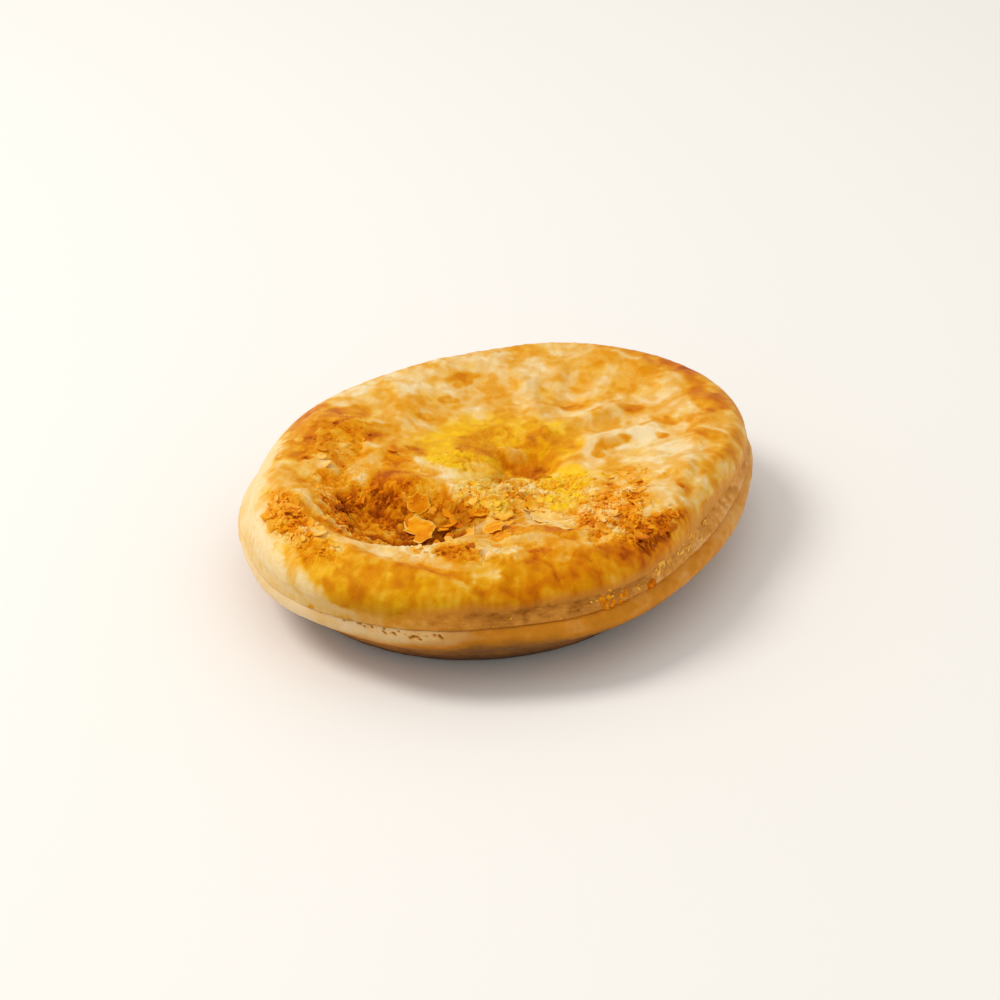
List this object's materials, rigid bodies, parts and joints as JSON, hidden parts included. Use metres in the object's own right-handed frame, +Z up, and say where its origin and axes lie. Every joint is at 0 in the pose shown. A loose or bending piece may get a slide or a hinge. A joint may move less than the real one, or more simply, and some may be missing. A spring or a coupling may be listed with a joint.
{
  "type": "minced beef pie",
  "caption": "Low oval pie: a pastry case with a rolled edge under a puffed, flaky, golden lid that sinks round a closed steam hole.",
  "frame": {"origin": "middle of the pie's box at the level of its flat bottom", "axes": "+X along the oval's long axis, +Y across it, +Z up through the lid"},
  "size_m": [0.1208, 0.0992, 0.026],
  "materials": {
    "short_pastry": "matt baked short pastry, cream to tan",
    "puff_pastry": "glazed and browned puff pastry, cream to caramel with egg yellow"
  },
  "bodies": {
    "root": {"case": "short_pastry", "lid": "puff_pastry"}
  },
  "joints": []
}
